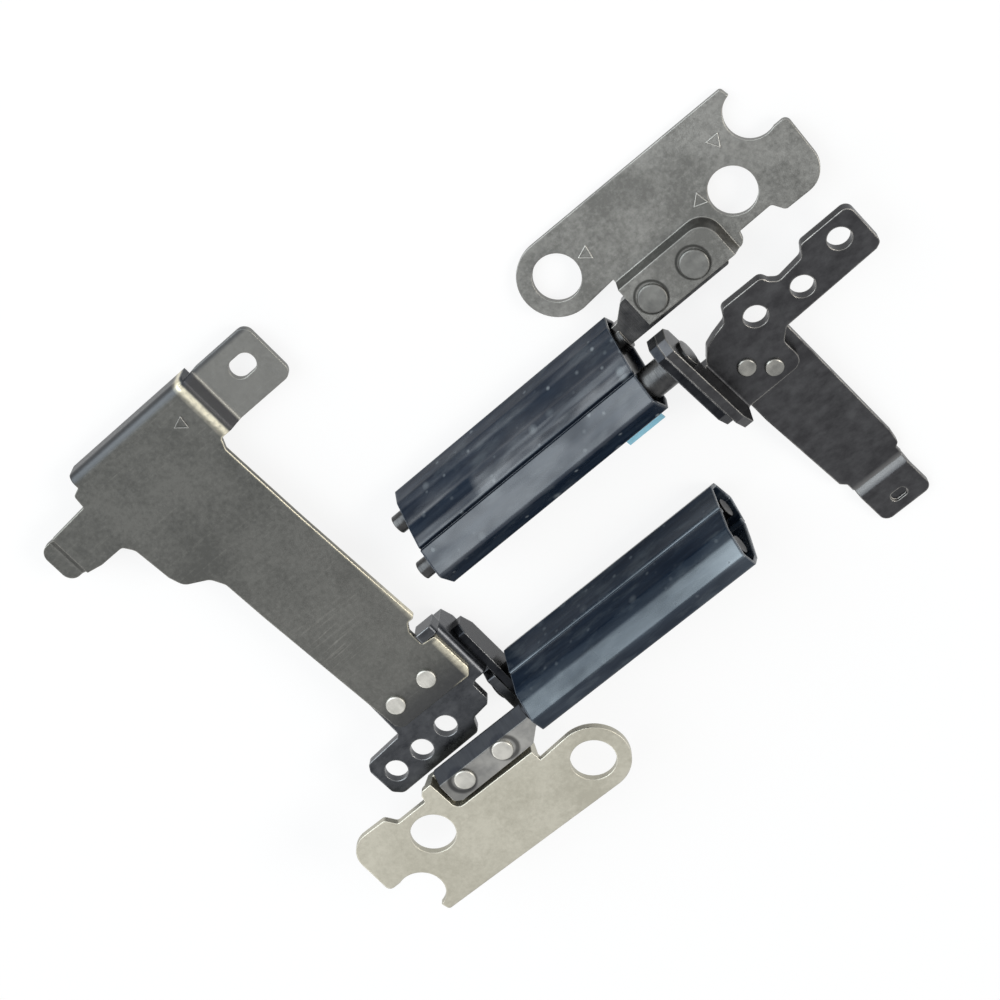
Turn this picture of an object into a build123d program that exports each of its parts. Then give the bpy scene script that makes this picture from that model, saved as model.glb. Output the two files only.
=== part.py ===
"""Pair of dual-shaft friction hinges for a convertible laptop, as two loose hinges lying side by side.

Each hinge is drawn once in its own frame, with the lid closed: x runs along the shafts away from the
housing and is zero at the housing's bracket end, y runs out along the base plate, z is the keyboard side,
and the base shaft is the line y = z = 0. The screen shaft then stands at z = SHAFT_GAP. The left hinge is
the mirror image of the right one. Each hinge is then opened and laid down as it would come to rest.
"""

import math
import os

from build123d import *

# Housing and shafts, in millimetres.
SHAFT_GAP = 6.6
HOUSING_L = 32.0
LOBE = 2.9
SLIM = 0.3
WALL = 0.45
WASHER_W = 0.2
RUN = 0.03
FIT = 0.03
SHAFT_R = LOBE - SLIM - WALL - FIT - WASHER_W - RUN
SCREEN_SHAFT_R = SHAFT_R - 0.4
STUB_R = 1.15
LEFT_STUB_OUT, RIGHT_STUB_OUT = -0.3, 2.1

# Stack inside the housing, from its bracket end: link, clips, washers, shaft shoulder, link and ring.
LINK_IN = 0.7
LINK_T = 1.2
SHOULDER_IN = 3.15
CLIP_T, CLIP_PITCH = 2.02, 2.06
WASHER_T, WASHER_PITCH, WASHERS = 1.45, 1.5, 4
RING_T, RING_R = 0.45, 1.65
PLAY = 0.05
SHOULDER = HOUSING_L - SHOULDER_IN

# Sheet metal.
BRACKET_T = 1.2
BASE_SHEET_T = 0.8
SCREEN_T = 0.9
BRACKET_Z = 1.9
CRANK_T = 1.1
CRANK_HALF = 2.3
CRANK_TAIL = 3.8
CRANK_REACH = 9.6
KEY_R, KEY_HALF = 1.5, 1.1
BLADE_LOW, BLADE_HIGH = -0.6, 1.0

# Where the first crank plate starts, hinge by hinge.
LEFT_CRANK_X = 1.0
RIGHT_CRANK_X = 3.1

# Rest pose: bracket end along X, base shaft height and line, and the turn of each member about X.
LEFT_END, LEFT_Y, LEFT_Z = -12.3, -16.95, 3.259
LEFT_BASE_TURN, LEFT_HOUSING_TURN, LEFT_SCREEN_TURN = -3.98, 15.0, 180.0
RIGHT_END, RIGHT_Y, RIGHT_Z = 24.5, 2.5, 8.085
RIGHT_BASE_TURN, RIGHT_HOUSING_TURN, RIGHT_SCREEN_TURN = 187.87, 220.0, 350.3

# Pocket of the screen plate: its open side and its lower edge.
POCKET_X, POCKET_Y = 3.95, -0.45

# Holes.
SCREW_R = 1.4
HOLE_A, HOLE_A_R = (20.3, 4.8), 2.75
HOLE_B, HOLE_B_R = (-0.6, 9.95), 2.75
SCREEN_LOBE = 4.5

# Far edge of the left base plate from its shaft.
LEFT_REACH = 53.4
SCREEN_RIVETS = [(6.2, 1.65), (12.2, 1.65)]
LEFT_SCREWS = [(10.6, 1.5), (14.9, 1.0), (19.2, 0.9)]
LEFT_RIVETS = [(7.6, 7.9), (12.7, 7.7)]
RIGHT_SCREWS = [(13.3, 2.9), (19.3, 3.7), (25.8, 2.0)]
RIGHT_RIVETS = [(8.5, 7.1), (10.7, 9.3)]


def rounded(corners):
    """Face in the XY plane from corners (x, y) or (x, y, radius)."""
    pts = [(c[0], c[1], c[2] if len(c) > 2 else 0.0) for c in corners]
    count = len(pts)
    edges = []
    ends = []
    for i, (x, y, r) in enumerate(pts):
        ax, ay, _ = pts[i - 1]
        bx, by, _ = pts[(i + 1) % count]
        la, lb = math.hypot(ax - x, ay - y), math.hypot(bx - x, by - y)
        ux, uy, vx, vy = (ax - x) / la, (ay - y) / la, (bx - x) / lb, (by - y) / lb
        half = math.acos(max(-1.0, min(1.0, ux * vx + uy * vy))) / 2
        if r <= 0 or half > 1.55:
            ends.append(((x, y), (x, y), None))
            continue
        t = min(r / math.tan(half), 0.48 * la, 0.48 * lb)
        r = t * math.tan(half)
        wx, wy = ux + vx, uy + vy
        w = math.hypot(wx, wy)
        reach = r / math.sin(half) - r
        mid = (x + wx / w * reach, y + wy / w * reach)
        ends.append(((x + ux * t, y + uy * t), (x + vx * t, y + vy * t), mid))
    for i, (start, stop, mid) in enumerate(ends):
        if mid:
            edges.append(ThreePointArc(start, mid, stop))
        edges.append(Line(stop, ends[(i + 1) % count][0]))
    return make_face(edges)


def sheet(corners, z, t):
    """Flat sheet in the plate plane: corners are (x, y), z is the lower face."""
    return Pos(0, 0, z) * extrude(rounded(corners), t)


def across(corners, x, t):
    """Solid with its section (y, z) swept along x by t."""
    return Plane(origin=(x, 0, 0), x_dir=(0, 1, 0), z_dir=(1, 0, 0)) * extrude(rounded(corners), t)


def along(corners, y, length):
    """Solid with its section (x, z) swept along y by length."""
    face = Plane(origin=(0, y + length, 0), x_dir=(1, 0, 0), z_dir=(0, -1, 0)) * rounded(corners)
    return extrude(face, length)


def peg(x, y, z, r, h):
    """Round peg standing on z at plate position x, y."""
    return Pos(x, y, z) * Cylinder(r, h, align=(Align.CENTER, Align.CENTER, Align.MIN))


def rod(x, y, z, r, length):
    """Round bar along x that starts at x."""
    return Pos(x, y, z) * Rot(0, 90, 0) * Cylinder(r, length, align=(Align.CENTER, Align.CENTER, Align.MIN))


def drilled(body, spots, r):
    for x, y in spots:
        body = body - peg(x, y, -20, r, 40)
    return body


def moved_in(corners, depth):
    """The same outline with every side moved in by depth. The corners run anticlockwise."""
    out = []
    count = len(corners)
    for i, (x, y, r) in enumerate(corners):
        ax, ay, _ = corners[i - 1]
        bx, by, _ = corners[(i + 1) % count]
        la, lb = math.hypot(x - ax, y - ay), math.hypot(bx - x, by - y)
        ux, uy, vx, vy = (x - ax) / la, (y - ay) / la, (bx - x) / lb, (by - y) / lb
        cross = ux * vy - uy * vx
        k = depth * (1 - ux * vx - uy * vy) / cross
        side = r - depth if cross > 0 else r + depth
        out.append((x - uy * depth - ux * k, y + ux * depth - uy * k, max(side, 0.0)))
    return out


def housing_section():
    """Section as (y, z, corner radius). Each side has a groove, and the screen end is slimmer than the base end."""
    top = SHAFT_GAP
    out_side = [
        (1.6, -LOBE - 0.05, 0.8),
        (LOBE, -1.2, 0.5),
        (LOBE, 2.55, 0.1),
        (LOBE - 0.35, 2.7, 0.0),
        (LOBE - 0.12, 3.0, 0.1),
        (LOBE - 0.12, top - 0.4, 0.3),
        (1.0, top + LOBE + 0.15, 0.5),
    ]
    in_side = [
        (-1.2, top + LOBE + 0.1, 0.5),
        (-LOBE + 0.5, top + 0.85, 0.4),
        (-LOBE + 0.1, 3.35, 0.4),
        (-LOBE, 0.95, 0.1),
        (-LOBE + 0.3, 0.75, 0.0),
        (-LOBE - 0.05, 0.5, 0.1),
        (-1.7, -LOBE - 0.1, 0.5),
    ]
    return out_side + in_side


def housing_pieces():
    """Cover, end links, torque clips and spring washers, in the closed pose."""
    out = {}
    outer = housing_section()
    inner = moved_in(outer, WALL)
    cover = across(outer, -HOUSING_L, HOUSING_L)
    out["housing_cover"] = cover - across(inner, -HOUSING_L - 1, HOUSING_L + 2)

    shafts = ((0.0, SHAFT_R), (SHAFT_GAP, SCREEN_SHAFT_R))

    def link(corners, x, t, holes):
        plate = across(corners, x, t)
        for z, r in holes:
            plate = plate - rod(x - 1, 0, z, r + RUN, t + 2)
        return plate

    stubs = ((0.0, STUB_R), (SHAFT_GAP, STUB_R))
    out["front_link"] = link(inner, -LINK_IN - LINK_T, LINK_T, shafts)
    out["rear_link"] = link(inner, -SHOULDER - PLAY - LINK_T, LINK_T, stubs)
    plain = [(y, z) for y, z, _ in moved_in(outer, WALL + FIT)]
    first = LINK_IN + LINK_T + PLAY
    washer_room = WASHERS * WASHER_PITCH + 2 * PLAY
    clips = int((SHOULDER - first - washer_room) / CLIP_PITCH)
    starts = [-first - CLIP_PITCH * i - CLIP_T for i in range(clips)]
    out["torque_clips"] = Compound(children=[link(plain, x, CLIP_T, shafts) for x in starts])
    washers = []
    for z, r in shafts:
        for i in range(WASHERS):
            x = -SHOULDER + PLAY + WASHER_PITCH * i
            ring = rod(x, 0, z, r + RUN + WASHER_W, WASHER_T)
            washers.append(ring - rod(x - 1, 0, z, r + RUN, WASHER_T + 2))
    out["spring_washers"] = Compound(children=washers)
    return out


def film_tab():
    """Loose end of the protective film: stuck to the hidden flank and peeled away from it."""
    tip = LOBE + 4.5
    flank = [
        (LOBE, -1.0),
        (LOBE, 1.72),
        (LOBE + 0.12, 1.78),
        (tip, -0.35),
        (tip - 0.05, -0.47),
        (LOBE + 0.14, 1.6),
        (LOBE + 0.12, -1.0),
    ]
    return across(flank, -7.7, 5.2)


def shaft_core(r, stub_out):
    """Round shaft inside the housing with its thin rear end."""
    body = rod(-SHOULDER, 0, 0, r, SHOULDER)
    return body + rod(-HOUSING_L - stub_out, 0, 0, STUB_R, HOUSING_L + stub_out - SHOULDER)


def retaining_ring():
    x = -SHOULDER - LINK_T - 2 * PLAY - RING_T
    return rod(x, 0, 0, RING_R, RING_T) - rod(x - 1, 0, 0, STUB_R, RING_T + 2)


def flat_end(x, length):
    """Shaft end with two flats."""
    flats = Box(length, 6, 2 * KEY_HALF, align=(Align.MIN, Align.CENTER, Align.CENTER))
    return rod(x, 0, 0, KEY_R, length) & (Pos(x, 0, 0) * flats)


def crank_end(reach):
    """Outline (y, z) of a plate keyed on the base shaft: a bar with chamfered ends."""
    half = CRANK_HALF
    return [
        (-reach[0], -half + 1.2, 0.3),
        (-reach[0] + 1.2, -half, 0.3),
        (reach[1] - 2.0, -half, 0.3),
        (reach[1], -half + 1.2, 0.3),
    ]


def base_pieces(crank_x, stub_out):
    """Base shaft, its ring and the first crank plate."""
    out = {}
    flange_x = crank_x + CRANK_T
    end_x = flange_x + BRACKET_T
    shaft = shaft_core(SHAFT_R, stub_out) + rod(-0.01, 0, 0, SHAFT_R, crank_x + 0.01)
    shaft = shaft + flat_end(crank_x, end_x - crank_x) + rod(end_x, 0, 0, KEY_R + 0.1, 0.4)
    out["base_shaft"] = shaft
    out["base_ring"] = retaining_ring()
    top = [(CRANK_REACH, 1.0, 0.3), (CRANK_REACH - 1.0, 1.7, 0.3), (-CRANK_TAIL + 1.2, 2.1, 0.3), (-CRANK_TAIL, 1.0, 0.3)]
    crank = across(crank_end((CRANK_TAIL, CRANK_REACH)) + top, crank_x, CRANK_T)
    out["crank_plate"] = crank - flat_end(crank_x - 1, 4)
    return out


def bracket(crank_x, outline, screws, rivets, reach):
    """Black bracket: a flat plate bent down into a flange that is keyed on the base shaft."""
    flange_x = crank_x + CRANK_T
    inside = flange_x + BRACKET_T
    top = BRACKET_Z + BRACKET_T
    edge = [(reach, 1.2), (3.0, 1.2, 0.3), (2.2, 2.1, 0.3), (-CRANK_TAIL + 1.2, 2.1, 0.3), (-CRANK_TAIL, 1.0, 0.3)]
    flange = across(crank_end((CRANK_TAIL, reach)) + edge, flange_x, BRACKET_T)
    bend = along(
        [
            (flange_x, 1.1),
            (flange_x, top, 1.4),
            (inside + 0.8, top),
            (inside + 0.8, BRACKET_Z),
            (inside, BRACKET_Z, 0.25),
            (inside, 1.1),
        ],
        3.7,
        reach - 3.7,
    )
    plate = sheet(outline, BRACKET_Z, BRACKET_T)
    body = flange + bend + plate
    body = body - flat_end(flange_x - 1, 4)
    body = drilled(body, screws, SCREW_R)
    return drilled(body, rivets, 0.8)


def rivets_through(spots, low, high, head_low, head_high, shank):
    """Rivets with a low round head below and above."""
    group = []
    for x, y in spots:
        body = peg(x, y, low, shank, high - low)
        for r, z, up in ((head_low, low, -1), (head_high, high, 1)):
            cap = peg(x, y, z if up > 0 else z - 0.35, r, 0.35)
            rim = cap.edges().filter_by(GeomType.CIRCLE).sort_by(Axis.Z)[-1 if up > 0 else 0]
            body = body + fillet(rim, 0.2)
        group.append(body)
    return Compound(children=group)


def left_base_sheet():
    """Long bare plate: a stepped-down slotted tab, a tongue, a down-turned lip and a bump."""
    z = BRACKET_Z + BRACKET_T
    t = BASE_SHEET_T
    far = LEFT_REACH
    outline = [
        (3.1, 14.6, 0.4),
        (4.0, 32.5),
        (4.4, far - 9.4, 0.6),
        (3.8, far - 8.1, 0.3),
        (2.2, far - 8.1),
        (2.2, far - 1.6),
        (20.4, far - 1.6),
        (21.5, far - 2.0, 0.5),
        (21.7, far - 3.7, 0.3),
        (27.4, far - 4.1),
        (27.4, far - 9.7),
        (25.4, far - 10.1, 1.0),
        (22.1, far - 10.1, 0.6),
        (21.2, far - 11.4, 1.5),
        (20.8, 37.0, 1.5),
        (20.2, 35.2, 1.6),
        (17.4, 33.7, 1.4),
        (16.5, 32.0, 1.2),
        (16.2, 26.0),
        (14.7, 4.9, 1.2),
        (3.6, 4.9, 0.5),
        (2.95, 5.7, 0.4),
        (3.1, 11.3, 0.3),
        (4.9, 11.5, 0.3),
        (4.9, 13.6, 0.3),
        (4.2, 14.6, 0.4),
    ]
    body = sheet(outline, z, t)
    step = 1.3
    tab = along(
        [
            (2.9, z),
            (2.9, z + t),
            (2.2, z + t, 0.8),
            (0.9, z + t - step, 0.6),
            (-7.3, z + t - step),
            (-7.3, z - step),
            (0.45, z - step, 0.4),
            (1.75, z, 0.4),
        ],
        far - 8.1,
        7.7,
    )
    corners = tab.edges().filter_by(Axis.Z).sort_by(Axis.X)[0:2]
    tab = fillet(corners, 1.2)
    slot = rounded([(-5.4, far - 5.0, 1.24), (-2.0, far - 5.0, 1.24), (-2.0, far - 2.5, 1.24), (-5.4, far - 2.5, 1.24)])
    tab = tab - Pos(0, 0, -5) * extrude(slot, 20)
    drop = 0.7
    end = along(
        [
            (25.6, z),
            (25.6, z + t),
            (27.3, z + t, 0.6),
            (28.2, z + t - drop, 0.6),
            (30.1, z + t - drop),
            (30.1, z - drop),
            (28.0, z - drop, 0.4),
            (27.0, z, 0.4),
        ],
        far - 9.5,
        5.2,
    )
    corners = end.edges().filter_by(Axis.Z).sort_by(Axis.X)[-2:]
    end = fillet(corners, 1.4)
    lip = across(
        [
            (far - t, z - 2.65),
            (far, z - 2.65),
            (far, z + t, 1.5),
            (far - 2.4, z + t),
            (far - 2.4, z),
            (far - t, z, 0.7),
        ],
        2.2,
        18.2,
    )
    body = body + tab + end + lip
    return drilled(body, LEFT_RIVETS, 0.8)


def right_base_sheet():
    """Dark strip with a narrower stepped end tab and an oblong dimple."""
    z = BRACKET_Z + BRACKET_T
    t = BASE_SHEET_T
    outline = [
        (5.6, 4.8, 0.4),
        (14.8, 4.8, 0.4),
        (14.3, 26.2),
        (14.0, 27.9, 0.5),
        (13.4, 28.3, 0.3),
        (13.4, 29.4),
        (6.3, 29.4),
        (6.3, 28.3, 0.3),
        (5.7, 27.6, 0.5),
        (5.3, 14.8),
    ]
    body = sheet(outline, z, t)
    rise = 0.6
    tab = across(
        [
            (28.4, z),
            (28.4, z + t),
            (29.9, z + t, 0.7),
            (30.9, z + t - rise, 0.7),
            (35.2, z + t - rise),
            (35.2, z - rise),
            (30.5, z - rise, 0.4),
            (29.5, z, 0.4),
        ],
        6.4,
        6.9,
    )
    tab = fillet(tab.edges().filter_by(Axis.Z).sort_by(Axis.Y)[-2:], 1.1)
    dimple = rounded([(8.8, 32.6, 0.6), (10.9, 32.6, 0.6), (10.9, 33.9, 0.6), (8.8, 33.9, 0.6)])
    tab = tab - Pos(0, 0, z - rise - 0.1) * extrude(dimple, 0.45)
    body = body + tab
    return drilled(body, RIGHT_RIVETS, 0.8)


LEFT_BRACKET = [
    (3.6, 3.7),
    (4.4, 3.4, 0.3),
    (4.4, 1.0, 0.4),
    (4.9, 0.4, 0.4),
    (7.4, 0.1, 0.7),
    (8.2, -1.6, 0.7),
    (20.6, -1.9, 1.0),
    (21.6, -0.9, 0.8),
    (21.7, 2.8, 0.9),
    (21.1, 3.7, 0.7),
    (15.6, 4.1, 0.6),
    (15.4, 10.2, 0.6),
    (13.6, 11.8, 0.6),
    (3.6, 11.8),
]
RIGHT_BRACKET = [
    (5.7, 3.7),
    (5.9, 3.4, 0.3),
    (7.0, 2.1, 0.8),
    (8.3, 1.6, 0.8),
    (10.4, 1.05, 0.8),
    (11.2, -0.45, 0.8),
    (16.7, -0.4, 0.8),
    (17.1, 0.6, 0.6),
    (17.9, 1.35, 0.8),
    (21.4, 0.9, 0.9),
    (22.3, -0.45, 0.8),
    (29.0, -0.5, 1.0),
    (28.8, 5.4, 0.8),
    (27.9, 5.85, 0.6),
    (14.9, 6.3, 0.3),
    (13.5, 7.6, 0.8),
    (13.5, 11.2, 1.5),
    (5.7, 11.3),
]


def screen_pieces(stub_out):
    """Screen shaft with its blade, the screen plate and its rivets, with the screen shaft on y = z = 0."""
    out = {}
    blade = [
        (0.3, -0.95, 0.3),
        (15.0, -0.95, 0.4),
        (15.3, 3.1, 0.5),
        (14.4, 3.7, 0.4),
        (3.0, 3.5, 0.6),
        (1.1, 1.9, 0.4),
        (0.3, 1.9),
    ]
    shaft = shaft_core(SCREEN_SHAFT_R, stub_out) + rod(-0.01, 0, 0, SCREEN_SHAFT_R, 0.71)
    slope = across([(-2.0, BLADE_LOW - 0.5), (0.9, BLADE_LOW - 0.5), (-2.0, 1.9)], 0.71, 16)
    shaft = shaft + (sheet(blade, BLADE_LOW, BLADE_HIGH - BLADE_LOW) - slope)
    out["screen_shaft"] = drilled(shaft, SCREEN_RIVETS, 1.0)
    out["screen_ring"] = retaining_ring()
    low, high = -0.6, SCREEN_T - 0.6
    tail_x, tail_y = HOLE_B
    flat = [
        (tail_x, tail_y - SCREEN_LOBE),
        (POCKET_X, 5.75),
        (POCKET_X, POCKET_Y),
        (17.5, POCKET_Y, 0.9),
        (17.9, 0.9, 0.3),
        (22.4, 0.95, 0.5),
        (23.3, -0.5, 0.6),
        (29.5, -0.6, 3.2),
        (29.85, 7.25, 0.7),
        (28.2, 7.25),
        (26.7, 12.6),
        (26.4, 14.05, 0.4),
        (tail_x, tail_y + SCREEN_LOBE),
    ]
    plate = sheet(flat, low, SCREEN_T) + peg(tail_x, tail_y, low, SCREEN_LOBE, SCREEN_T)
    plate = plate - peg(27.2, 10.05, low - 1, 2.95, SCREEN_T + 2)
    rise = BLADE_HIGH

    def drawn(foot, roof, z_foot, z_roof):
        """Block that narrows from the foot (x, y, corner) up to the roof."""
        faces = []
        for (x, y, r), z in ((foot, z_foot), (roof, z_roof)):
            faces.append(Pos(0, 0, z) * rounded([(0, -4), (x, -4), (x, y, r), (0, y)]))
        return loft(faces)

    room = Pos(POCKET_X, POCKET_Y, low) * Box(30, 30, 10, align=(Align.MIN, Align.MIN, Align.MIN))
    shell = drawn((17.1, 5.7, 2.7), (16.2, 4.75, 2.2), low, rise + SCREEN_T) & room
    hollow = drawn((15.8, 4.25, 1.0), (15.5, 3.95, 0.8), low, rise)
    plate = plate + shell - hollow
    plate = drilled(plate, [HOLE_A], HOLE_A_R)
    plate = drilled(plate, [HOLE_B], HOLE_B_R)
    out["screen_plate"] = drilled(plate, SCREEN_RIVETS, 1.0)
    out["screen_rivets"] = rivets_through(SCREEN_RIVETS, BLADE_LOW, rise + SCREEN_T, 1.3, 1.7, 0.98)
    return out


def turned(shape, degrees):
    return Rot(degrees, 0, 0) * shape


def lay_down(side, pieces, base_turn, housing_turn, screen_turn, end, y, z):
    """Opens one hinge, mirrors it for the left hand and puts it at its place."""
    out = {}
    a = math.radians(90 + housing_turn)
    screen_at = Pos(0, SHAFT_GAP * math.cos(a), SHAFT_GAP * math.sin(a))
    place = Pos(end, y, z)
    for group, moved in pieces.items():
        for name, shape in moved.items():
            if side == "left":
                shape = mirror(shape, about=Plane.YZ)
            if group == "base":
                shape = turned(shape, base_turn)
            elif group == "housing":
                shape = turned(shape, housing_turn)
            else:
                shape = screen_at * turned(shape, screen_turn)
            out[side + "_" + name] = place * shape
    return out


def hinge_pair():
    low, high = BRACKET_Z, BRACKET_Z + BRACKET_T + BASE_SHEET_T
    left_base = base_pieces(LEFT_CRANK_X, LEFT_STUB_OUT)
    left_base["base_bracket"] = bracket(LEFT_CRANK_X, LEFT_BRACKET, LEFT_SCREWS, LEFT_RIVETS, 11.8)
    left_base["base_plate"] = left_base_sheet()
    left_base["base_rivets"] = rivets_through(LEFT_RIVETS, low, high, 1.2, 1.2, 0.78)
    right_base = base_pieces(RIGHT_CRANK_X, RIGHT_STUB_OUT)
    right_base["base_bracket"] = bracket(RIGHT_CRANK_X, RIGHT_BRACKET, RIGHT_SCREWS, RIGHT_RIVETS, 11.3)
    right_base["base_strip"] = right_base_sheet()
    right_base["base_rivets"] = rivets_through(RIGHT_RIVETS, low, high, 1.1, 1.2, 0.78)
    pieces = {}
    hook = Box(2.6, 1.2, 2.9, align=(Align.MIN, Align.MIN, Align.MIN))
    hook = fillet(hook.edges().filter_by(Axis.Y).sort_by(Axis.Z)[-2:], 0.5)
    left_base["base_bracket"] = left_base["base_bracket"] + Pos(LEFT_CRANK_X + CRANK_T, 11.75, BRACKET_Z) * hook
    left = {"base": left_base, "housing": housing_pieces(), "screen": screen_pieces(LEFT_STUB_OUT)}
    right = {"base": right_base, "housing": housing_pieces(), "screen": screen_pieces(RIGHT_STUB_OUT)}
    right["housing"]["film_tab"] = film_tab()
    turns = (LEFT_BASE_TURN, LEFT_HOUSING_TURN, LEFT_SCREEN_TURN)
    pieces.update(lay_down("left", left, *turns, LEFT_END, LEFT_Y, LEFT_Z))
    turns = (RIGHT_BASE_TURN, RIGHT_HOUSING_TURN, RIGHT_SCREEN_TURN)
    pieces.update(lay_down("right", right, *turns, RIGHT_END, RIGHT_Y, RIGHT_Z))
    return pieces


pieces = hinge_pair()
boxes = [shape.bounding_box() for shape in pieces.values()]
for name, shape in pieces.items():
    print(name, "lowest", round(shape.bounding_box().min.Z, 3))
mid_x = (min(b.min.X for b in boxes) + max(b.max.X for b in boxes)) / 2
mid_y = (min(b.min.Y for b in boxes) + max(b.max.Y for b in boxes)) / 2
floor = min(b.min.Z for b in boxes)
print("origin moved by", round(-mid_x, 4), round(-mid_y, 4), round(-floor, 4))
os.makedirs("parts", exist_ok=True)
for name, shape in pieces.items():
    export_step(Pos(-mid_x, -mid_y, -floor) * shape, "parts/" + name + ".step")
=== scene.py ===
# %% [markdown]
# # A pair of laptop hinges
# The solid pieces arrive finished from the CAD model, each at its real place and size in metres.
# This lesson gives every one of them the surface it has on the real object, adds the small stamped marks,
# and sets up the camera, floor and light.

from math import radians

import bmesh
import bpy
from mathutils import Matrix, Vector


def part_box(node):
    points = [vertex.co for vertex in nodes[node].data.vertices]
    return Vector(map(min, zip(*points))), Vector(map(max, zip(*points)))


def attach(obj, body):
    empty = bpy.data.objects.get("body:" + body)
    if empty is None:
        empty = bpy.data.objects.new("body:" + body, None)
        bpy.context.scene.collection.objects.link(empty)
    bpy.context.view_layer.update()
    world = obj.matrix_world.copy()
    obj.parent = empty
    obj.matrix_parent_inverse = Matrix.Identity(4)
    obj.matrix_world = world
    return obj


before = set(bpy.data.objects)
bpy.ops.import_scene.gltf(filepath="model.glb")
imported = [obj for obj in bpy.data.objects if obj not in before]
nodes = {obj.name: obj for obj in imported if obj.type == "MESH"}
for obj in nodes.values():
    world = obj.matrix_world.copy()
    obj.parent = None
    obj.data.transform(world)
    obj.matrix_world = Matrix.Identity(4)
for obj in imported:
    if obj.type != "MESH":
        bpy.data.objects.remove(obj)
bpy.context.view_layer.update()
MM = 0.001
PER_METRE = 1000
print("solids loaded:", len(nodes))

# %% [markdown]
# ## Camera
# The two hinges were photographed from above, leaning a little away from straight down. A camera can be
# aimed with a Track To constraint, but here its three directions are known, so they become the columns of
# its matrix: where its right side points, where its top points, and the way back out of the picture. Its
# place, its focal length and its sensor are in millimetres.

# %% Place the camera
CAMERA_PLACE = (92.469, 104.23, 271.951)
FOCAL_LENGTH = 96.43
SENSOR_WIDTH = 36.0
NEAR_CLIP = 0.01
camera_right = Vector((0.7325, -0.6807, 0.0)).normalized()
camera_up = Vector((0.6010, 0.6468, -0.4695)).normalized()
camera_back = camera_right.cross(camera_up)
lens = bpy.data.cameras.new("hinge_camera")
lens.sensor_width = SENSOR_WIDTH
lens.lens = FOCAL_LENGTH
lens.clip_start = NEAR_CLIP
camera = bpy.data.objects.new("hinge_camera", lens)
turn = Matrix((camera_right, camera_up, camera_back)).transposed().to_4x4()
camera.matrix_world = Matrix.Translation(Vector(CAMERA_PLACE) * MM) @ turn
bpy.context.scene.collection.objects.link(camera)
bpy.context.scene.camera = camera
bpy.context.scene.view_settings.view_transform = "Standard"
print("camera stands", round(camera.location.length, 3), "m from the origin")

# %% [markdown]
# ## World and floor
# The hinges lie on white paper. The world is plain white where the camera and the reflections look, and
# weaker where it only lights the pieces, so that metal shows a white room and still keeps its own colour.

# %% Light the world
def looks_at_background(tree):
    """One for a ray from the camera, a reflection or glass, and zero for the light between surfaces."""
    path = tree.nodes.new("ShaderNodeLightPath")
    first = tree.nodes.new("ShaderNodeMath")
    first.operation = "MAXIMUM"
    tree.links.new(path.outputs["Is Camera Ray"], first.inputs[0])
    tree.links.new(path.outputs["Is Glossy Ray"], first.inputs[1])
    second = tree.nodes.new("ShaderNodeMath")
    second.operation = "MAXIMUM"
    tree.links.new(first.outputs[0], second.inputs[0])
    tree.links.new(path.outputs["Is Transmission Ray"], second.inputs[1])
    return second.outputs[0]


SEEN_STRENGTH = 0.9
LIT_STRENGTH = 0.45
world = bpy.data.worlds.new("white_room")
world.use_nodes = True
bpy.context.scene.world = world
sky = world.node_tree
seen = sky.nodes["Background"]
seen.inputs["Color"].default_value = (1.0, 1.0, 1.0, 1.0)
seen.inputs["Strength"].default_value = SEEN_STRENGTH
lit = sky.nodes.new("ShaderNodeBackground")
lit.inputs["Color"].default_value = (0.94, 0.97, 1.0, 1.0)
lit.inputs["Strength"].default_value = LIT_STRENGTH
choose = sky.nodes.new("ShaderNodeMixShader")
sky.links.new(looks_at_background(sky), choose.inputs["Fac"])
sky.links.new(lit.outputs[0], choose.inputs[1])
sky.links.new(seen.outputs[0], choose.inputs[2])
sky.links.new(choose.outputs[0], sky.nodes["World Output"].inputs["Surface"])
print("world:", world.name)

# %% [markdown]
# The floor is one big square, six metres wide and a hair below the pieces. Part of what the camera sees
# there is an even white, the rest is ordinary paper that takes shadows, so the contact shadows stay faint,
# as on a cleaned-up product photo.

# %% Lay the floor
HALF_FLOOR = 3.0
FLOOR_DROP = 0.02
EVEN_WHITE_SHARE = 0.85
sheet = bmesh.new()
bmesh.ops.create_grid(sheet, x_segments=1, y_segments=1, size=HALF_FLOOR)
bmesh.ops.translate(sheet, verts=sheet.verts, vec=(0, 0, -FLOOR_DROP * MM))
floor_mesh = bpy.data.meshes.new("paper_floor")
sheet.to_mesh(floor_mesh)
sheet.free()
floor = bpy.data.objects.new("paper_floor", floor_mesh)
bpy.context.scene.collection.objects.link(floor)
paper = bpy.data.materials.new("white_paper")
paper.use_nodes = True
tree = paper.node_tree
body = tree.nodes["Principled BSDF"]
body.inputs["Base Color"].default_value = (0.88, 0.88, 0.88, 1)
body.inputs["Roughness"].default_value = 0.9
body.inputs["Specular IOR Level"].default_value = 0.0
glow = tree.nodes.new("ShaderNodeEmission")
share = tree.nodes.new("ShaderNodeMath")
share.operation = "MULTIPLY"
share.inputs[1].default_value = EVEN_WHITE_SHARE
tree.links.new(looks_at_background(tree), share.inputs[0])
both = tree.nodes.new("ShaderNodeMixShader")
tree.links.new(share.outputs[0], both.inputs["Fac"])
tree.links.new(body.outputs[0], both.inputs[1])
tree.links.new(glow.outputs[0], both.inputs[2])
tree.links.new(both.outputs[0], tree.nodes["Material Output"].inputs["Surface"])
floor_mesh.materials.append(paper)
print("floor:", floor.name)

# %% [markdown]
# Three soft lamps do the rest. Flat metal is a mirror, so a lamp that stands where a plate mirrors it burns
# that plate white. The plates here look up and to the left of the picture, so the warm main lamp stands at
# the right, where it only catches their edges. The broad cool lamp at the back is the one that the sloping
# sides of the covers mirror.

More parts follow.
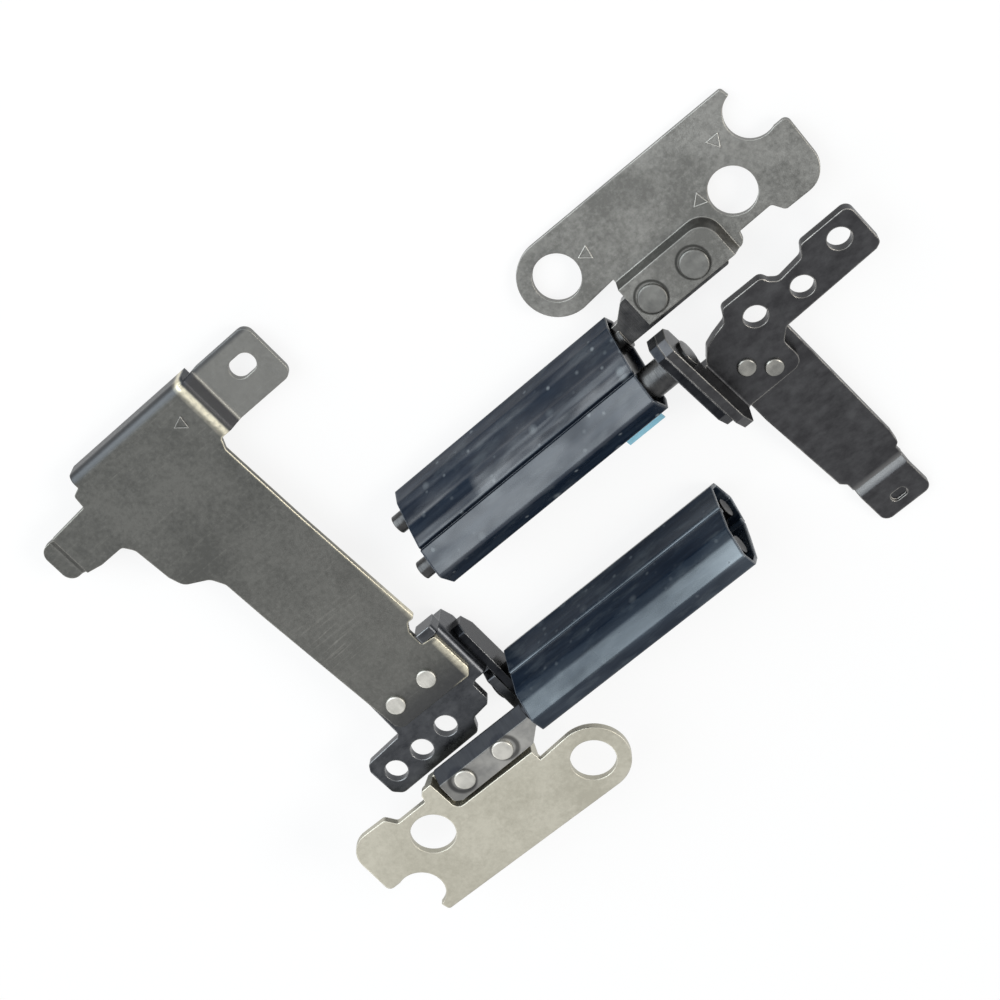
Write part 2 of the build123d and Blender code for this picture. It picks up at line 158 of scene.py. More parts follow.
# %% Hang the lamps
def soft_lamp(name, place, size, power, colour):
    """Rectangular area lamp at place, in metres, that faces the hinges."""
    light = bpy.data.lights.new(name, "AREA")
    light.shape = "RECTANGLE"
    light.size, light.size_y = size
    light.energy = power
    light.color = colour
    lamp = bpy.data.objects.new(name, light)
    lamp.location = place
    lamp.rotation_euler = (-Vector(place)).to_track_quat("-Z", "Y").to_euler()
    bpy.context.scene.collection.objects.link(lamp)


soft_lamp("main_lamp", (0.50, -0.20, 0.50), (0.30, 0.30), 2.4, (1.0, 0.95, 0.87))
soft_lamp("cool_lamp", (-0.24, 0.58, 0.52), (0.60, 1.05), 6.3, (0.87, 0.95, 1.0))
soft_lamp("left_lamp", (-0.70, -0.30, 0.40), (0.25, 0.40), 0.9, (1.0, 1.0, 1.0))

# %% [markdown]
# ## Tools for the finishes
# Every finish below is a small node tree on top of a Principled shader. The same few nodes return each
# time, so they get short helpers. Patterns read Object coordinates turned into millimetres: a pattern then
# has a real size, and stays on its piece when the piece moves.

# %% Helpers for node trees
def new_finish(name):
    """New material, its tree and its Principled shader."""
    material = bpy.data.materials.new(name)
    material.use_nodes = True
    return material, material.node_tree, material.node_tree.nodes["Principled BSDF"]


def millimetres(tree, stretch=(1, 1, 1), turn=(0, 0, 0)):
    """Object coordinates in millimetres, stretched and turned."""
    place = tree.nodes.new("ShaderNodeTexCoord")
    scale = tree.nodes.new("ShaderNodeMapping")
    scale.inputs["Scale"].default_value = [PER_METRE * s for s in stretch]
    scale.inputs["Rotation"].default_value = turn
    tree.links.new(place.outputs["Object"], scale.inputs["Vector"])
    return scale.outputs["Vector"]


def axis(tree, letter):
    """One object coordinate in millimetres."""
    parts = tree.nodes.new("ShaderNodeSeparateXYZ")
    tree.links.new(millimetres(tree), parts.inputs[0])
    return parts.outputs[letter]


def clouds(tree, where, scale, detail=4, rough=0.55):
    """Soft noise between about 0.3 and 0.7."""
    noise = tree.nodes.new("ShaderNodeTexNoise")
    noise.inputs["Scale"].default_value = scale
    noise.inputs["Detail"].default_value = detail
    noise.inputs["Roughness"].default_value = rough
    tree.links.new(where, noise.inputs["Vector"])
    return noise.outputs["Fac"]


def spread(tree, value, low, high, to_low=0.0, to_high=1.0):
    """Value from low..high moved to to_low..to_high, and held there."""
    change = tree.nodes.new("ShaderNodeMapRange")
    for name, number in (("From Min", low), ("From Max", high), ("To Min", to_low), ("To Max", to_high)):
        change.inputs[name].default_value = number
    tree.links.new(value, change.inputs["Value"])
    return change.outputs["Result"]


def calc(tree, how, first, second):
    """One sum on two values, each a socket or a number."""
    step = tree.nodes.new("ShaderNodeMath")
    step.operation = how
    for socket, value in zip(step.inputs, (first, second)):
        if isinstance(value, (int, float)):
            socket.default_value = value
        else:
            tree.links.new(value, socket)
    return step.outputs[0]


def tint(tree, amount, first, second):
    """Colour that goes from first to second with amount. Each colour is three numbers or a socket."""
    mix = tree.nodes.new("ShaderNodeMix")
    mix.data_type = "RGBA"
    tree.links.new(amount, mix.inputs[0])
    for socket, colour in ((mix.inputs[6], first), (mix.inputs[7], second)):
        if isinstance(colour, tuple):
            socket.default_value = (*colour, 1)
        else:
            tree.links.new(colour, socket)
    return mix.outputs[2]


print("helpers ready")

# %% [markdown]
# A sheared edge is never sharp: its corner is rolled over and rubbed bright. The Bevel node gives the normal
# that a rounded edge would have. Where it differs from the true normal there is an edge, and the difference,
# measured by the cosine between the two, marks it. On the plates and the black finishes the lighter colour
# given there is partly wear and partly painted highlight.

# %% Helpers for edges and bumps
FLAT_COSINE = 0.995
EDGE_COSINE = 0.86
BEVEL_SAMPLES = 12


def rounded_normal(tree, reach):
    """Normal of the surface with its edges rounded over reach millimetres."""
    soft = tree.nodes.new("ShaderNodeBevel")
    soft.samples = BEVEL_SAMPLES
    soft.inputs["Radius"].default_value = reach * MM
    return soft.outputs["Normal"]


def edge_amount(tree, reach):
    """Zero on flat ground and one at an edge."""
    plain = tree.nodes.new("ShaderNodeNewGeometry")
    compare = tree.nodes.new("ShaderNodeVectorMath")
    compare.operation = "DOT_PRODUCT"
    tree.links.new(rounded_normal(tree, reach), compare.inputs[0])
    tree.links.new(plain.outputs["Normal"], compare.inputs[1])
    return spread(tree, compare.outputs["Value"], FLAT_COSINE, EDGE_COSINE)


def profile(tree, value, stops):
    """Value turned into levels by a list of (value, level), in straight lines between them."""
    low, high = stops[0][0], stops[-1][0]
    ramp = tree.nodes.new("ShaderNodeValToRGB")
    tree.links.new(spread(tree, value, low, high), ramp.inputs["Fac"])
    knots = ramp.color_ramp.elements
    while len(knots) < len(stops):
        knots.new(0.5)
    for knot, (where, level) in zip(knots, stops):
        knot.position = (where - low) / (high - low)
        knot.color = (level, level, level, 1)
    return ramp.outputs["Color"]


def relief(tree, height, depth, normal=None):
    """Bump of depth millimetres from height, on top of another normal."""
    bump = tree.nodes.new("ShaderNodeBump")
    bump.inputs["Strength"].default_value = 1.0
    bump.inputs["Distance"].default_value = depth * MM
    tree.links.new(height, bump.inputs["Height"])
    if normal is not None:
        tree.links.new(normal, bump.inputs["Normal"])
    return bump.outputs["Normal"]


def dress(material, *names):
    """Gives the named solids this finish alone."""
    for name in names:
        mesh = nodes[name].data
        mesh.materials.clear()
        mesh.materials.append(material)
    print(material.name, "on", ", ".join(names))


print("edge helpers ready")

# %% [markdown]
# Some marks belong to one spot: the ring that a rivet head presses into its plate, or a rubbed place. They
# come from the distance to that spot. For a rivet the distance is measured in the plane of the plate, so the
# plate's tilt is undone first and the height is then multiplied by zero.

# %% Helpers for marks at one spot
RIGHT_RIVET_HEAD = 1.7
LEFT_RIVET_HEAD = 1.3


def distance_from(tree, spot, tilt=0.0, flat=True):
    """Millimetres from a spot that is given in metres. With flat, only in the plane that is tilted about X
    by so many degrees."""
    place = tree.nodes.new("ShaderNodeTexCoord")
    shift = tree.nodes.new("ShaderNodeVectorMath")
    shift.operation = "SUBTRACT"
    tree.links.new(place.outputs["Object"], shift.inputs[0])
    shift.inputs[1].default_value = spot
    level = tree.nodes.new("ShaderNodeMapping")
    level.inputs["Rotation"].default_value = (radians(-tilt), 0, 0)
    tree.links.new(shift.outputs["Vector"], level.inputs["Vector"])
    press = tree.nodes.new("ShaderNodeVectorMath")
    press.operation = "MULTIPLY"
    press.inputs[1].default_value = (PER_METRE, PER_METRE, 0 if flat else PER_METRE)
    tree.links.new(level.outputs["Vector"], press.inputs[0])
    length = tree.nodes.new("ShaderNodeVectorMath")
    length.operation = "LENGTH"
    tree.links.new(press.outputs["Vector"], length.inputs[0])
    return length.outputs["Value"]


def ring_amount(tree, spots, radius, width, tilt=0.0):
    """One on a ring of the given radius round each spot, fading out over width."""
    total = None
    for spot in spots:
        away = calc(tree, "ABSOLUTE", calc(tree, "SUBTRACT", distance_from(tree, spot, tilt), radius), 0.0)
        ring = spread(tree, away, width, width * 0.35)
        total = ring if total is None else calc(tree, "MAXIMUM", total, ring)
    return total


def rivet_spots(node, head):
    """Centres of a node's two rivets, one at each end of its box. Head is their radius in millimetres."""
    low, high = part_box(node)
    middle = [(low[i] + high[i]) / 2 for i in range(3)]
    return [(x, middle[1], middle[2]) for x in (low[0] + head * MM, high[0] - head * MM)]


print("rivets of the right screen plate:", rivet_spots("right_screen_rivets", RIGHT_RIVET_HEAD))

# %% [markdown]
# ## Bare plates
# The plates are stamped from bare steel sheet and tumbled, which leaves a fine grain, cloudy patches and a
# few scratches. An image of steel would do, but it would show the same patch everywhere. Here three noises
# of different size are mixed: broad clouds for handling marks, a mottle of half a millimetre, and a fine
# grain for the bump. Scratches are a noise that is stretched very long in one direction and kept only where
# it is brightest.

# %% Scratches
def scratch_amount(tree, turn, thin, keep):
    """Fine lines along one direction in the plane, turned by degrees about Z."""
    along = millimetres(tree, (0.12, thin, 1.0), (0, 0, radians(turn)))
    lines = clouds(tree, along, 1.0, 2, 0.5)
    return spread(tree, lines, keep, keep + 0.06)


print("scratch helper ready")

# %% Finish for bare stamped steel
def stamped_steel(name, dark, light, edge, gloss, grain):
    """Material of a bare plate, with its tree, shader, colour and mottle, so that more can be laid over it.
    Gloss is the range of its roughness, grain the depth of its bump in millimetres."""
    material, tree, shader = new_finish(name)
    where = millimetres(tree)
    broad = clouds(tree, where, 0.14, 3)
    mottle = clouds(tree, where, 1.7, 6, 0.7)
    fine = clouds(tree, where, 9.0, 3, 0.7)
    patch = calc(tree, "ADD", calc(tree, "MULTIPLY", broad, 0.5), calc(tree, "MULTIPLY", mottle, 0.5))
    colour = tint(tree, spread(tree, patch, 0.4, 0.6), dark, light)
    faint = spread(tree, mottle, 0.42, 0.62, 0.0, 0.12)
    hair = calc(tree, "MULTIPLY", scratch_amount(tree, 35, 7.0, 0.61), faint)
    colour = tint(tree, hair, colour, edge)
    # lighter edges: partly wear, partly painted highlight
    edge_wear_and_highlight = calc(tree, "MULTIPLY", edge_amount(tree, 0.24), spread(tree, broad, 0.36, 0.6, 0.35, 1.0))
    colour = tint(tree, edge_wear_and_highlight, colour, edge)
    shader.inputs["Metallic"].default_value = 1.0
    rough = spread(tree, calc(tree, "ADD", mottle, fine), 0.7, 1.3, gloss[0], gloss[1])
    tree.links.new(rough, shader.inputs["Roughness"])
    tree.links.new(relief(tree, fine, grain, rounded_normal(tree, 0.2)), shader.inputs["Normal"])
    return material, tree, shader, colour, mottle


print("stamped steel ready")

# %% [markdown]
# The right screen plate is the greyest. Each of its rivets has pressed a dark ring into the pocket.

# %% Right screen plate
RIGHT_SCREEN_TILT = -9.7
PRESSED_RING = (1.86, 0.22)
grey_look = ((0.125, 0.124, 0.117), (0.215, 0.213, 0.201), (0.36, 0.355, 0.335))
grey_plate, tree, shader, colour = stamped_steel("tumbled_grey_steel", *grey_look, (0.34, 0.5), 0.02)[:4]
pressed_spots = rivet_spots("right_screen_rivets", RIGHT_RIVET_HEAD)
pressed = ring_amount(tree, pressed_spots, *PRESSED_RING, RIGHT_SCREEN_TILT)
colour = tint(tree, calc(tree, "MULTIPLY", pressed, 0.85), colour, (0.03, 0.03, 0.028))
tree.links.new(colour, shader.inputs["Base Color"])
dress(grey_plate, "right_screen_plate")

# %% [markdown]
# The left screen plate lies the other way up and shows its paler, warmer back. It is nearly clean.

# %% Left screen plate
warm_look = ((0.41, 0.394, 0.328), (0.5, 0.483, 0.41), (0.62, 0.6, 0.53))
warm_plate, tree, shader, colour = stamped_steel("warm_silver_steel", *warm_look, (0.36, 0.5), 0.012)[:4]
tree.links.new(colour, shader.inputs["Base Color"])
dress(warm_plate, "left_screen_plate")

# %% [markdown]
# The long left plate is duller. Its tones follow its own width and length, X and Y in millimetres: a painted
# lighter middle, a dark end by the rivets, a paler tab, painted shade on the wall of the step of the tab and
# painted shade on the lip. The profile helper turns a coordinate into the strength of each.

# %% Tones of the long left plate
dull_look = ((0.088, 0.089, 0.084), (0.13, 0.13, 0.122), (0.3, 0.295, 0.265))
long_plate, tree, shader, colour, mottle = stamped_steel("dull_long_plate", *dull_look, (0.32, 0.46), 0.012)
across, along = axis(tree, "X"), axis(tree, "Y")
tones = {
    # painted highlight: a lighter band along the middle of the plate, where light falls along it
    "painted lighter middle": (along, [(-12.6, 0.0), (-9.0, 0.1), (-4.0, 0.3), (14.0, 0.0)], (0.21, 0.208, 0.192)),
    "dark end": (along, [(-13.2, 0.8), (-12.2, 0.7), (-9.4, 0.0)], (0.048, 0.049, 0.052)),
    "pale tab": (across, [(-19.5, 0.0), (-19.1, 0.5)], (0.25, 0.25, 0.238)),
    # painted shade: a dark tint on the wall of the step of the tab
    "painted shade on step wall": (across, [(-20.75, 0.0), (-20.5, 0.9), (-19.5, 0.9), (-19.3, 0.0)], (0.036, 0.037, 0.041)),
    # painted shade: the lip is darkened in place of its reflection of the cool lamp
    "painted shade on lip": (along, [(33.7, 0.0), (34.1, 0.65), (34.9, 0.75)], (0.045, 0.049, 0.057)),
}
for place, stops, look in tones.values():
    colour = tint(tree, profile(tree, place, stops), colour, look)
print("tones:", ", ".join(tones))

# %% [markdown]
# Over the tones lie a patch of scuffs where the plate was slid in and out, and a cream painted highlight on
# the long edge, at the step of the tab and on the bent flange. On the long edge it also follows the edge
# wear.

# %% Scuffs and painted highlights of the long left plate
SCUFF_SPOT = (-0.0306, 0.0004, 0.0058)
patch = spread(tree, distance_from(tree, SCUFF_SPOT, flat=False), 5.5, 1.0)
scuffs = calc(tree, "MULTIPLY", scratch_amount(tree, -47, 3.2, 0.56), calc(tree, "MULTIPLY", patch, mottle))
colour = tint(tree, calc(tree, "MULTIPLY", scuffs, 0.32), colour, (0.36, 0.35, 0.32))
# cream painted highlights on the step of the tab and the bent flange; on the long edge partly wear, partly
# painted highlight
step_highlight_stops = [(-22.1, 0.0), (-21.7, 0.25), (-21.35, 1.0), (-20.95, 0.95), (-20.7, 0.0)]
step_highlight = profile(tree, across, step_highlight_stops)
flange_highlight_side = profile(tree, across, [(-22.3, 0.0), (-21.5, 0.85)])
flange_highlight = calc(tree, "MULTIPLY", flange_highlight_side, spread(tree, along, -7.4, -7.7))
long_edge_highlight_side = profile(tree, across, [(-24.4, 0.0), (-22.6, 0.9), (-21.0, 0.9), (-20.7, 0.0)])
long_edge_wear_and_highlight = calc(tree, "MULTIPLY", edge_amount(tree, 0.4), long_edge_highlight_side)
rim_wear_and_highlights = calc(tree, "MAXIMUM", long_edge_wear_and_highlight, calc(tree, "MAXIMUM", step_highlight, flange_highlight))
rim_rub_and_highlight = calc(tree, "MULTIPLY", rim_wear_and_highlights, spread(tree, mottle, 0.3, 0.55, 0.5, 1.0))
colour = tint(tree, rim_rub_and_highlight, colour, (0.74, 0.69, 0.54))
tree.links.new(colour, shader.inputs["Base Color"])
dress(long_plate, "left_base_plate")

# %% [markdown]
# ## Black brackets
# Brackets, crank plates and the right strip are steel with a thin black finish that still mirrors like
# metal. It is cloudy where fingers touched it, and grey along the corners, partly rubbed and partly a painted
# highlight. So it is a dark metal here, not a paint.

# %% Finish for blackened steel
def black_finish(name, dark, light, edge, gloss):
    """Blackened steel, with its tree, shader and colour. Gloss is the range of its roughness."""
    material, tree, shader = new_finish(name)
    where = millimetres(tree)
    broad = clouds(tree, where, 0.4, 5, 0.65)
    smear = clouds(tree, millimetres(tree, (0.7, 1.3, 1.0), (0, 0, radians(40))), 0.7, 5, 0.65)
    fine = clouds(tree, where, 7.0, 3, 0.6)
    cloudy = calc(tree, "ADD", calc(tree, "MULTIPLY", broad, 0.55), calc(tree, "MULTIPLY", smear, 0.45))
    colour = tint(tree, spread(tree, cloudy, 0.4, 0.64), dark, light)
    # lighter edges: partly wear, partly painted highlight
    edge_wear_and_highlight = calc(tree, "MULTIPLY", edge_amount(tree, 0.28), spread(tree, broad, 0.36, 0.6, 0.3, 1.0))
    colour = tint(tree, edge_wear_and_highlight, colour, edge)
    tree.links.new(colour, shader.inputs["Base Color"])
    shader.inputs["Metallic"].default_value = 1.0
    tree.links.new(spread(tree, cloudy, 0.38, 0.64, gloss[0], gloss[1]), shader.inputs["Roughness"])
    tree.links.new(relief(tree, fine, 0.008, rounded_normal(tree, 0.24)), shader.inputs["Normal"])
    return material, tree, shader, colour


print("black finish ready")

# %% Crank plates and left bracket
crank_look = ((0.012, 0.013, 0.016), (0.028, 0.03, 0.034), (0.18, 0.185, 0.19))
crank_black = black_finish("crank_black", *crank_look, (0.2, 0.34))[0]
dress(crank_black, "left_crank_plate", "right_crank_plate")
left_look = ((0.045, 0.048, 0.054), (0.085, 0.089, 0.096), (0.26, 0.265, 0.27))
left_black = black_finish("bracket_black", *left_look, (0.22, 0.36))[0]
dress(left_black, "left_base_bracket")

# %% [markdown]
# On the right the finish is a shade greyer. A painted highlight lightens the strip across the bend of its
# tab.

# %% Right bracket and strip
charcoal_look = ((0.045, 0.045, 0.048), (0.078, 0.079, 0.083), (0.36, 0.35, 0.33))
charcoal = black_finish("charcoal_bracket", *charcoal_look, (0.28, 0.42))[0]
dress(charcoal, "right_base_bracket")
strip_grey, tree, shader, colour = black_finish("charcoal_strip", *charcoal_look, (0.28, 0.42))
# painted highlight: a lighter band across the bend of the tab
bend_highlight = profile(tree, axis(tree, "Y"), [(-29.0, 0.0), (-28.5, 0.8), (-27.9, 0.9), (-27.4, 0.0)])
tree.links.new(tint(tree, bend_highlight, colour, (0.15, 0.15, 0.15)), shader.inputs["Base Color"])
dress(strip_grey, "right_base_strip")

# %% [markdown]
# ## Shafts, rivets and inner steel
# The shafts are oiled dark steel, turned on a lathe: the tool leaves rings, which a stretched noise along
# the shaft gives. The rivets are paler, with a rubbed face.

# %% Finish for turned and plain steel
def turned_steel(name, dark, light, edge, gloss, ring):
    """Turned or plain steel, with its tree, shader and colour. Ring is the depth of its rings in mm."""
    material, tree, shader = new_finish(name)
    where = millimetres(tree)
    rings = clouds(tree, millimetres(tree, (9, 0.4, 0.4)), 1.0, 3)
    broad = clouds(tree, where, 0.6, 4)
    colour = tint(tree, spread(tree, broad, 0.35, 0.65), dark, light)
    colour = tint(tree, edge_amount(tree, 0.14), colour, edge)
    shader.inputs["Metallic"].default_value = 1.0
    tree.links.new(spread(tree, rings, 0.35, 0.65, gloss[0], gloss[1]), shader.inputs["Roughness"])
    tree.links.new(relief(tree, rings, ring, rounded_normal(tree, 0.14)), shader.inputs["Normal"])
    tree.links.new(colour, shader.inputs["Base Color"])
    return material, tree, shader, colour


print("turned steel ready")

# %% Shafts, rivets and inner pieces
plain_steels = {
    "oiled_shaft_steel": ((0.035, 0.036, 0.038), (0.08, 0.08, 0.08), (0.3, 0.29, 0.27), (0.22, 0.4), 0.01),
    # the left base shaft: its own dark steel, darkened further as painted shade where it lies inside the
    # cover
    "black_shaft_and_shade_steel": ((0.01, 0.01, 0.011), (0.022, 0.022, 0.024), (0.06, 0.06, 0.06), (0.3, 0.45), 0.01),
    "spring_steel": ((0.1, 0.1, 0.1), (0.17, 0.17, 0.17), (0.3, 0.3, 0.3), (0.3, 0.45), 0.004),
    "pale_rivet_steel": ((0.42, 0.415, 0.385), (0.56, 0.55, 0.51), (0.66, 0.64, 0.6), (0.34, 0.5), 0.004),
    "grey_rivet_steel": ((0.12, 0.12, 0.115), (0.19, 0.19, 0.18), (0.3, 0.29, 0.27), (0.34, 0.5), 0.004),
    "bright_rivet_steel": ((0.2, 0.2, 0.19), (0.34, 0.335, 0.31), (0.5, 0.49, 0.46), (0.24, 0.36), 0.004),
}
steels = {name: turned_steel(name, *look)[0] for name, look in plain_steels.items()}
hidden = [n for n in nodes if n.endswith(("link", "clips", "washers", "ring"))]
dress(steels["oiled_shaft_steel"], "right_base_shaft", "right_screen_shaft")
dress(steels["black_shaft_and_shade_steel"], "left_base_shaft")
dress(steels["spring_steel"], *sorted(hidden))
dress(steels["pale_rivet_steel"], "left_base_rivets", "left_screen_rivets")
dress(steels["grey_rivet_steel"], "right_screen_rivets")
dress(steels["bright_rivet_steel"], "right_base_rivets")

# %% [markdown]
# The left screen shaft is flattened into a blade that lies open to view. Its face is rubbed grey. Painted
# shade darkens it inside the cover and on its sloping side. It is also darker towards its far end, and dark
# round its two rivets, where oil sits.

# %% Blade of the left screen shaft
OILY_RING = (1.5, 0.42)
blade_look = ((0.25, 0.25, 0.243), (0.36, 0.357, 0.34), (0.46, 0.45, 0.43))
blade_grey, tree, shader, colour = turned_steel("rubbed_blade_steel", *blade_look, (0.3, 0.45), 0.004)
oily = ring_amount(tree, rivet_spots("left_screen_rivets", LEFT_RIVET_HEAD), *OILY_RING)
colour = tint(tree, calc(tree, "MULTIPLY", oily, 0.75), colour, (0.02, 0.02, 0.021))
far_end = spread(tree, axis(tree, "X"), -26.0, -34.0, 0.0, 0.45)
# painted shade on the sloping side and inside the cover; the far end is darker as well
shade_on_slope = spread(tree, axis(tree, "Y"), -20.9, -20.7, 0.0, 0.97)
inside = spread(tree, axis(tree, "X"), -17.0, -14.0, 0.0, 0.95)
painted_shade_and_dark_end = calc(tree, "MAXIMUM", inside, calc(tree, "MAXIMUM", far_end, shade_on_slope))
colour = tint(tree, painted_shade_and_dark_end, colour, (0.014, 0.015, 0.018))
tree.links.new(colour, shader.inputs["Base Color"])
dress(blade_grey, "left_screen_shaft")

# %% [markdown]
# ## Glossy covers
# The covers are moulded in glossy blue-black plastic. What one sees on them is mostly the white room and the
# cool lamp in their facets, so the gloss matters more than the colour. Dust sits on them as pale specks,
# which come from the distance to the points of a Voronoi pattern, and a wiped film makes them paler in
# streaks along the cover. How strongly each facet reflects is set by its Y coordinate in millimetres: the
# ones that hands touch are polished, the others stay dull.

# %% Finish for the glossy covers
def speck_amount(tree, where, scale, size):
    """One inside small scattered specks, zero between them."""
    dots = tree.nodes.new("ShaderNodeTexVoronoi")
    dots.inputs["Scale"].default_value = scale
    tree.links.new(where, dots.inputs["Vector"])
    near = spread(tree, dots.outputs["Distance"], size, size * 0.2)
    pick = tree.nodes.new("ShaderNodeSeparateColor")
    tree.links.new(dots.outputs["Color"], pick.inputs[0])
    few = spread(tree, pick.outputs[0], 0.6, 0.9)
    return calc(tree, "MULTIPLY", near, few)


def glossy_cover(name, levels, ends, shine, dust, crease, painted_crease_look):
    """Blue-black gloss, with its tree, shader and reflection level. The level goes by Y, and by X towards
    the ends. Dust is the strength of the specks, crease the place of the pressed line in Y, and
    painted_crease_look the colour painted along that line as light or shade."""
    material, tree, shader = new_finish(name)
    where, across = millimetres(tree), axis(tree, "Y")
    streaks = clouds(tree, millimetres(tree, (0.16, 1.2, 1.2)), 0.8, 5, 0.65)
    wiped = clouds(tree, millimetres(tree, (0.3, 0.9, 0.9)), 0.8, 4, 0.6)
    patchy = clouds(tree, millimetres(tree, (0.5, 1.0, 1.0)), 0.32, 2, 0.5)
    ripple = clouds(tree, millimetres(tree, (0.1, 0.5, 0.5)), 0.8, 2)
    small, large = (speck_amount(tree, where, scale, 0.24) for scale in (0.75, 0.34))
    specks = calc(tree, "MAXIMUM", small, large)
    colour = tint(tree, spread(tree, streaks, 0.4, 0.66), (0.006, 0.011, 0.021), (0.014, 0.022, 0.036))
    colour = tint(tree, spread(tree, wiped, 0.52, 0.7, 0.0, 0.5), colour, (0.054, 0.066, 0.078))
    colour = tint(tree, calc(tree, "MULTIPLY", specks, dust), colour, (0.28, 0.31, 0.33))
    colour = tint(tree, calc(tree, "MULTIPLY", edge_amount(tree, 0.2), 0.7), colour, (0.16, 0.18, 0.21))
    # the pressed line: painted highlight on the left cover, painted shade on the right one
    start, stop, fade = *crease, 0.05
    line = profile(tree, across, [(start - fade, 0.0), (start, 1.0), (stop, 1.0), (stop + fade, 0.0)])
    line = calc(tree, "MULTIPLY", line, spread(tree, patchy, 0.3, 0.6, 0.5, 1.0))
    colour = tint(tree, line, colour, painted_crease_look)
    tree.links.new(colour, shader.inputs["Base Color"])
    rough = spread(tree, patchy, 0.35, 0.65, 0.14, 0.32)
    rough = calc(tree, "MAXIMUM", rough, calc(tree, "MULTIPLY", specks, 0.6))
    tree.links.new(rough, shader.inputs["Roughness"])
    level = calc(tree, "MULTIPLY", profile(tree, across, levels), spread(tree, patchy, 0.34, 0.64, 0.65, 1.4))
    level = calc(tree, "MULTIPLY", level, profile(tree, axis(tree, "X"), ends))
    tree.links.new(level, shader.inputs["Specular IOR Level"])
    shader.inputs["Specular Tint"].default_value = (*shine, 1)
    tree.links.new(relief(tree, ripple, 0.1, rounded_normal(tree, 0.4)), shader.inputs["Normal"])
    return material, tree, shader, level


print("glossy finish ready")

# %% [markdown]
# One facet of the left cover mirrors the cool lamp as a bright band. Beside the pressed line it is a little
# hazy, and it is almost free of dust. A painted highlight runs along the pressed line.

# %% Left cover
LEFT_DUST = 0.2
bright_band = [(-20.6, 0.32), (-20.1, 0.85), (-19.2, 0.74), (-18.66, 0.62), (-18.4, 0.12), (-17.6, 0.05)]
hazy_side = [(-16.85, 0.06), (-16.6, 0.28), (-15.6, 0.06)]
left_levels = bright_band + hazy_side
left_ends = [(-18.5, 1.0), (-15.0, 0.95), (-7.0, 0.7), (4.0, 0.75), (9.0, 0.95), (13.5, 1.5)]
# painted highlight along the pressed line
left_shine, left_crease_and_highlight = (0.85, 0.945, 1.0), ((-16.7, -16.64), (0.26, 0.3, 0.34))
left_gloss = glossy_cover("left_cover_gloss", left_levels, left_ends, left_shine, LEFT_DUST, *left_crease_and_highlight)[0]
dress(left_gloss, "left_housing_cover")

# %% [markdown]
# The right cover shows more bands: its lower lobe is an even grey, and on the upper lobe a hazy band and a
# thin rubbed line run from end to end. At its low end a finger has wiped the haze off. Painted shade darkens
# its pressed line.

# %% Right cover
RIGHT_DUST = 0.55
lower_lobe = [(-0.1, 0.08), (0.3, 0.62), (3.25, 0.58), (3.32, 0.0), (3.65, 0.02)]
upper_lobe = [(3.8, 1.05), (4.35, 1.05), (4.5, 0.62), (5.5, 0.62), (5.6, 0.9), (5.78, 0.4), (6.7, 0.18)]
rubbed_line = [(6.9, 0.52), (7.1, 0.34), (7.9, 0.12)]
right_ends = [(-14.0, 1.05), (-6.0, 1.0), (8.0, 0.9), (18.5, 1.0)]
# painted shade along the pressed line
right_shine, right_crease_and_shade = (0.99, 0.995, 1.0), ((3.33, 3.6), (0.004, 0.006, 0.01))
right_levels = lower_lobe + upper_lobe + rubbed_line
right_gloss, tree, shader, level = glossy_cover(
    "right_cover_gloss", right_levels, right_ends, right_shine, RIGHT_DUST, *right_crease_and_shade
)
low_end = profile(tree, axis(tree, "X"), [(-4.4, 0.9), (-3.4, 0.0)])
hazy_stops = [(3.7, 0.0), (3.95, 0.6), (4.35, 0.65), (4.55, 1.0), (5.4, 1.0), (5.55, 0.0)]
hazy_band = profile(tree, axis(tree, "Y"), hazy_stops)
wiped_off = calc(tree, "SUBTRACT", 1.0, calc(tree, "MULTIPLY", low_end, hazy_band))
tree.links.new(calc(tree, "MULTIPLY", level, wiped_off), shader.inputs["Specular IOR Level"])
dress(right_gloss, "right_housing_cover")

# %% [markdown]
# The loose end of the protective film is clear light-blue plastic, thin enough to glow where light comes
# through.

# %% Finish for the film
film, tree, shader = new_finish("light_blue_film")
haze = clouds(tree, millimetres(tree), 0.9, 3)
tree.links.new(tint(tree, haze, (0.22, 0.56, 0.74), (0.42, 0.76, 0.9)), shader.inputs["Base Color"])
shader.inputs["Roughness"].default_value = 0.18
shader.inputs["Transmission Weight"].default_value = 0.25
dress(film, "right_film_tab")

# %% [markdown]
# ## Stamped triangles
# The press leaves small triangles in the plates, which show the fitter which way round they go. Each is a
# thin raised outline: a circle of three corners is capped, its face is inset, the middle is taken out, and
# the rest is extruded up by a tenth of a millimetre. A bump in the material would not hold such a sharp
# outline close up.

# %% Helper for the stamped triangles
TRIANGLE_RADIUS = 1.0
OUTLINE_WIDTH = 0.22
OUTLINE_HEIGHT = 0.1


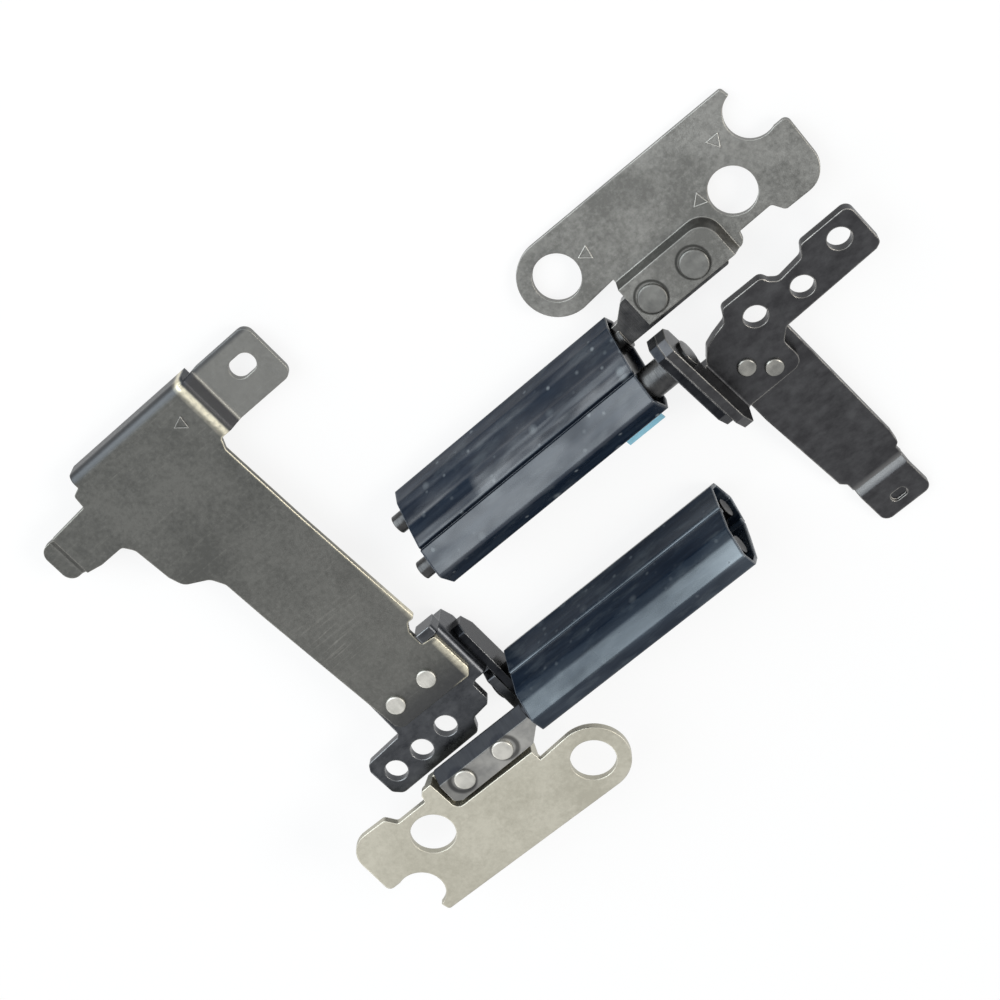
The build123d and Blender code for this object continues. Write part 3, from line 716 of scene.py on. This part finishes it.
def stamped_triangle(name, spot, turn, tilt, body, material):
    """Raised triangle outline on a plate. The spot is in millimetres, turn and tilt in degrees."""
    shape = bmesh.new()
    bmesh.ops.create_circle(shape, cap_ends=True, segments=3, radius=TRIANGLE_RADIUS * MM)
    width = OUTLINE_WIDTH * MM
    rim = bmesh.ops.inset_region(shape, faces=shape.faces[:], thickness=width, use_boundary=True)["faces"]
    middle = [f for f in shape.faces if f not in rim]
    bmesh.ops.delete(shape, geom=middle, context="FACES_ONLY")
    lift = bmesh.ops.extrude_face_region(shape, geom=shape.faces[:])["geom"]
    top = [v for v in lift if isinstance(v, bmesh.types.BMVert)]
    bmesh.ops.translate(shape, verts=top, vec=(0, 0, OUTLINE_HEIGHT * MM))
    bmesh.ops.recalc_face_normals(shape, faces=shape.faces[:])
    place = Matrix.Translation(Vector(spot) * MM)
    place = place @ Matrix.Rotation(radians(tilt), 4, "X") @ Matrix.Rotation(radians(turn), 4, "Z")
    bmesh.ops.transform(shape, matrix=place, verts=shape.verts)
    mesh = bpy.data.meshes.new(name)
    shape.to_mesh(mesh)
    shape.free()
    mesh.materials.append(material)
    piece = bpy.data.objects.new(name, mesh)
    bpy.context.scene.collection.objects.link(piece)
    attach(piece, body)
    return piece


print("triangle helper ready")

# %% [markdown]
# Three triangles lie on the right screen plate and one on the long left plate. Each plate has its own tilt
# about X, and its triangles move with its body.

# %% Stamp the triangles
# The raised outlines get a lighter steel than their plates: a painted highlight on the relief.
pale_line_look = ((0.27, 0.268, 0.255), (0.36, 0.357, 0.34), (0.44, 0.435, 0.41))
pale_line = turned_steel("pale_stamp_highlight_steel", *pale_line_look, (0.32, 0.45), 0.004)[0]
dull_line_look = ((0.15, 0.15, 0.144), (0.21, 0.21, 0.2), (0.3, 0.295, 0.28))
dull_line = turned_steel("dull_stamp_highlight_steel", *dull_line_look, (0.32, 0.45), 0.004)[0]
LONG_PLATE_TILT = -3.98
on_screen_plate = (RIGHT_SCREEN_TILT, "right_screen_side", pale_line)
on_long_plate = (LONG_PLATE_TILT, "base_side", dull_line)
triangles = [
    stamped_triangle("stamp_by_small_end", (22.141, 14.867, 1.65), 200, *on_screen_plate),
    stamped_triangle("stamp_by_pocket", (35.421, 11.308, 2.258), 100, *on_screen_plate),
    stamped_triangle("stamp_by_notch", (40.941, 15.143, 1.603), 60, *on_screen_plate),
    stamped_triangle("stamp_on_long_plate", (-24.179, 31.048, 3.708), 80, *on_long_plate),
]
print("stamped:", [t.name for t in triangles])

# %% [markdown]
# ## Check and finish
# The solids that are still without a finish are listed.

# %% List the solids without a finish
plain_nodes = [n for n in nodes if not nodes[n].data.materials]
print("solids without a finish:", plain_nodes)
